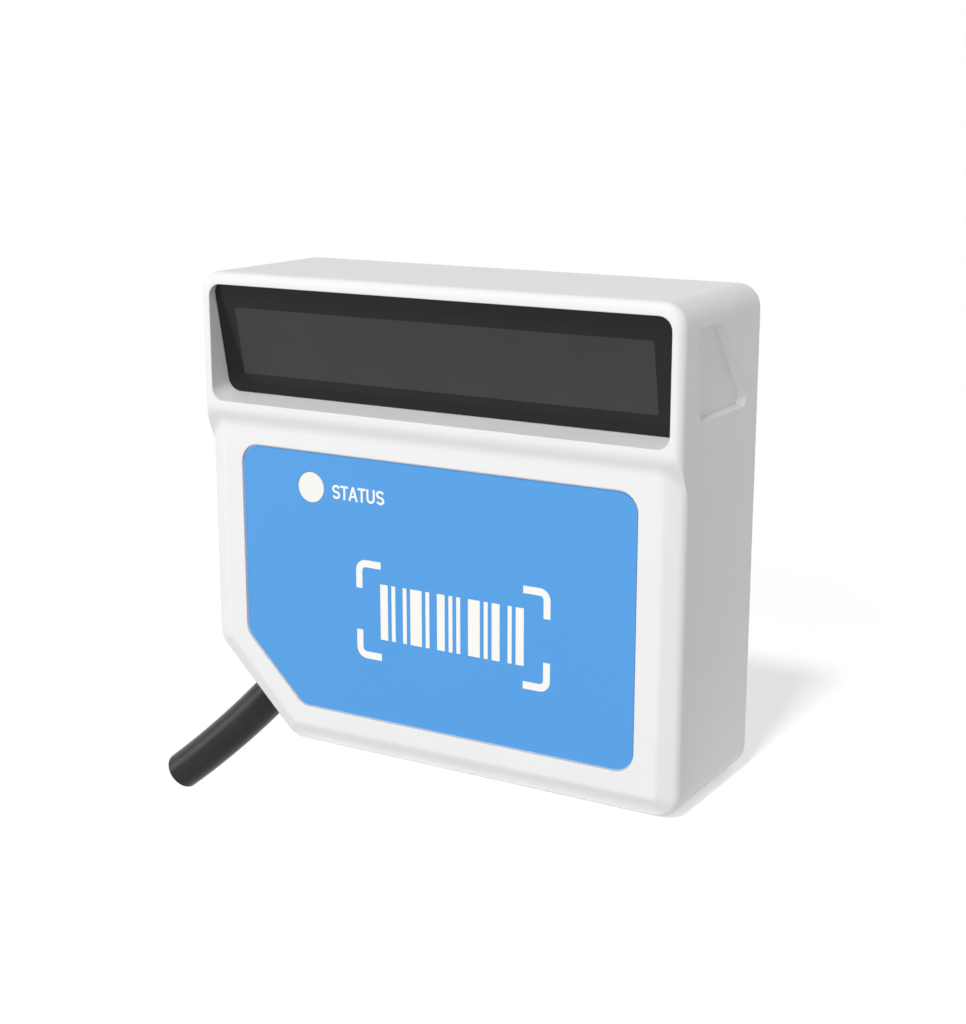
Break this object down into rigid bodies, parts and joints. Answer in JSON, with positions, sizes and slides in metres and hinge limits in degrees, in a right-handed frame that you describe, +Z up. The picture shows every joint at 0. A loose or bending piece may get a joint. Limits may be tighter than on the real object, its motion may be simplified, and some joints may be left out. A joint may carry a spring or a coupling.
{
  "type": "fixed barcode reader",
  "caption": "Compact fixed-mount barcode reader: white bevelled housing, tilted smoked window in a proud head, blue front label with a status light, cable from a cut corner.",
  "frame": {"origin": "centre of the rear mounting threads, on the rear face", "axes": "+X to the right seen from the front, +Y from the front to the rear and out of the mounting face, +Z up"},
  "size_m": [0.082, 0.0213, 0.0744],
  "materials": {
    "housing_white": "fine satin moulded plastic",
    "window_smoke": "polished smoked acrylic",
    "window_black": "printed black border",
    "gasket_black": "matt rubber",
    "label_blue": "printed film, satin",
    "light_pipe": "frosted clear plastic",
    "steel": "plated steel",
    "brass": "turned brass",
    "board_green": "solder mask",
    "chip_black": "moulded epoxy",
    "can_metal": "plated can",
    "ceramic_tan": "ceramic",
    "led_cream": "LED package",
    "connector_ivory": "nylon",
    "core_red": "insulated core",
    "cable_black": "soft cable sheath",
    "tie_natural": "natural nylon",
    "engine_black": "matt black plastic",
    "lens_clear": "polished lens",
    "sensor_die": "sensor package",
    "flex_amber": "polyimide film"
  },
  "bodies": {
    "root": {"front_housing": "housing_white", "rear_cover": "housing_white", "scan_window": "window_smoke", "window_mask": "window_black", "window_gasket": "gasket_black", "cover_gasket": "gasket_black", "cable_grommet": "gasket_black", "front_label": "label_blue", "status_light_pipe": "light_pipe", "cover_screws": "steel", "board_screws": "steel", "sensor_screws": "steel", "engine_screws": "steel", "mounting_inserts": "brass", "main_board": "board_green", "illumination_board": "board_green", "sensor_board": "board_green", "decoder_chip": "chip_black", "memory_chip": "chip_black", "power_inductor": "chip_black", "buzzer": "chip_black", "crystal": "can_metal", "board_passives": "ceramic_tan", "status_led": "led_cream", "illumination_leds": "led_cream", "aimer_leds": "led_cream", "cable_header": "connector_ivory", "cable_plug": "connector_ivory", "sensor_socket": "connector_ivory", "board_socket": "connector_ivory", "cable_cores": "core_red", "cable": "cable_black", "cable_tail": "cable_black", "cable_tie": "tie_natural", "engine_frame": "engine_black", "lens_holder": "engine_black", "lens_barrel": "engine_black", "front_lens": "lens_clear", "aimer_lenses": "lens_clear", "image_sensor": "sensor_die", "engine_flex": "flex_amber"}
  },
  "joints": []
}
